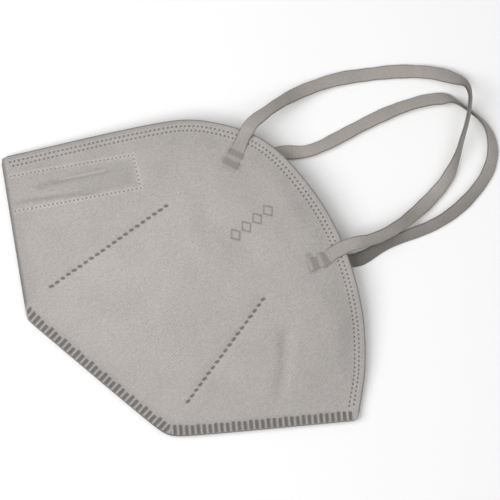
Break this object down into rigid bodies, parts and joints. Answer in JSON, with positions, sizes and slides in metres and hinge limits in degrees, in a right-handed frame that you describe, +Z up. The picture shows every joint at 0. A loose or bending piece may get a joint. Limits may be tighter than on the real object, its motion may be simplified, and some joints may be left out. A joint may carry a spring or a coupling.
{
  "type": "disposable dust mask",
  "caption": "Fold-flat dust mask folded in half, with welded front seams, an inner nose clip and elastic ear loops that swing; both halves open about the crease.",
  "frame": {"origin": "middle of the folded mask's footprint without its ear loops, on the surface it lies on", "axes": "+X along the crease from the nose corner to the chin corner, +Y towards the face edge and the ear loops, +Z up through the folded mask"},
  "size_m": [0.1582, 0.1693, 0.0139],
  "materials": {
    "cover_fabric": "matte",
    "cotton": "matte",
    "filter": "matte",
    "lining_fabric": "matte",
    "clip_metal": "satin",
    "loop_elastic": "matte"
  },
  "bodies": {
    "front": {"outer_cover_front": "cover_fabric", "cotton_layer_front": "cotton", "filter_layer_a_front": "filter", "filter_layer_b_front": "filter", "lining_front": "lining_fabric", "nose_clip_bridge": "clip_metal"},
    "left_flap": {"outer_cover_left": "cover_fabric", "cotton_layer_left": "cotton", "filter_layer_a_left": "filter", "filter_layer_b_left": "filter", "lining_left": "lining_fabric", "nose_clip_arm_left": "clip_metal", "loop_tab_nose_left": "loop_elastic", "loop_tab_chin_left": "loop_elastic"},
    "right_flap": {"outer_cover_right": "cover_fabric", "cotton_layer_right": "cotton", "filter_layer_a_right": "filter", "filter_layer_b_right": "filter", "lining_right": "lining_fabric", "nose_clip_arm_right": "clip_metal", "loop_tab_nose_right": "loop_elastic", "loop_tab_chin_right": "loop_elastic"},
    "left_loop": {"ear_loop_left": "loop_elastic"},
    "right_loop": {"ear_loop_right": "loop_elastic"}
  },
  "joints": [
    {"name": "left_flap_open", "type": "hinge", "parent": "front", "child": "left_flap", "pos_m": [0, -0.00864, 0.006], "axis": [1, 0, 0], "range_deg": [0, 50]},
    {"name": "right_flap_open", "type": "hinge", "parent": "front", "child": "right_flap", "pos_m": [0, -0.00864, 0.0012], "axis": [-1, 0, 0], "range_deg": [0, 50]},
    {"name": "left_loop_swing", "type": "hinge", "parent": "left_flap", "child": "left_loop", "pos_m": [-0.0144, 0.05255, 0.0136], "axis": [0.9735, -0.2266, -0.0317], "range_deg": [0, 110]},
    {"name": "right_loop_swing", "type": "hinge", "parent": "right_flap", "child": "right_loop", "pos_m": [0.0011, 0.05425, 0.00055], "axis": [-0.94, 0.3411, 0], "range_deg": [0, 110]}
  ]
}
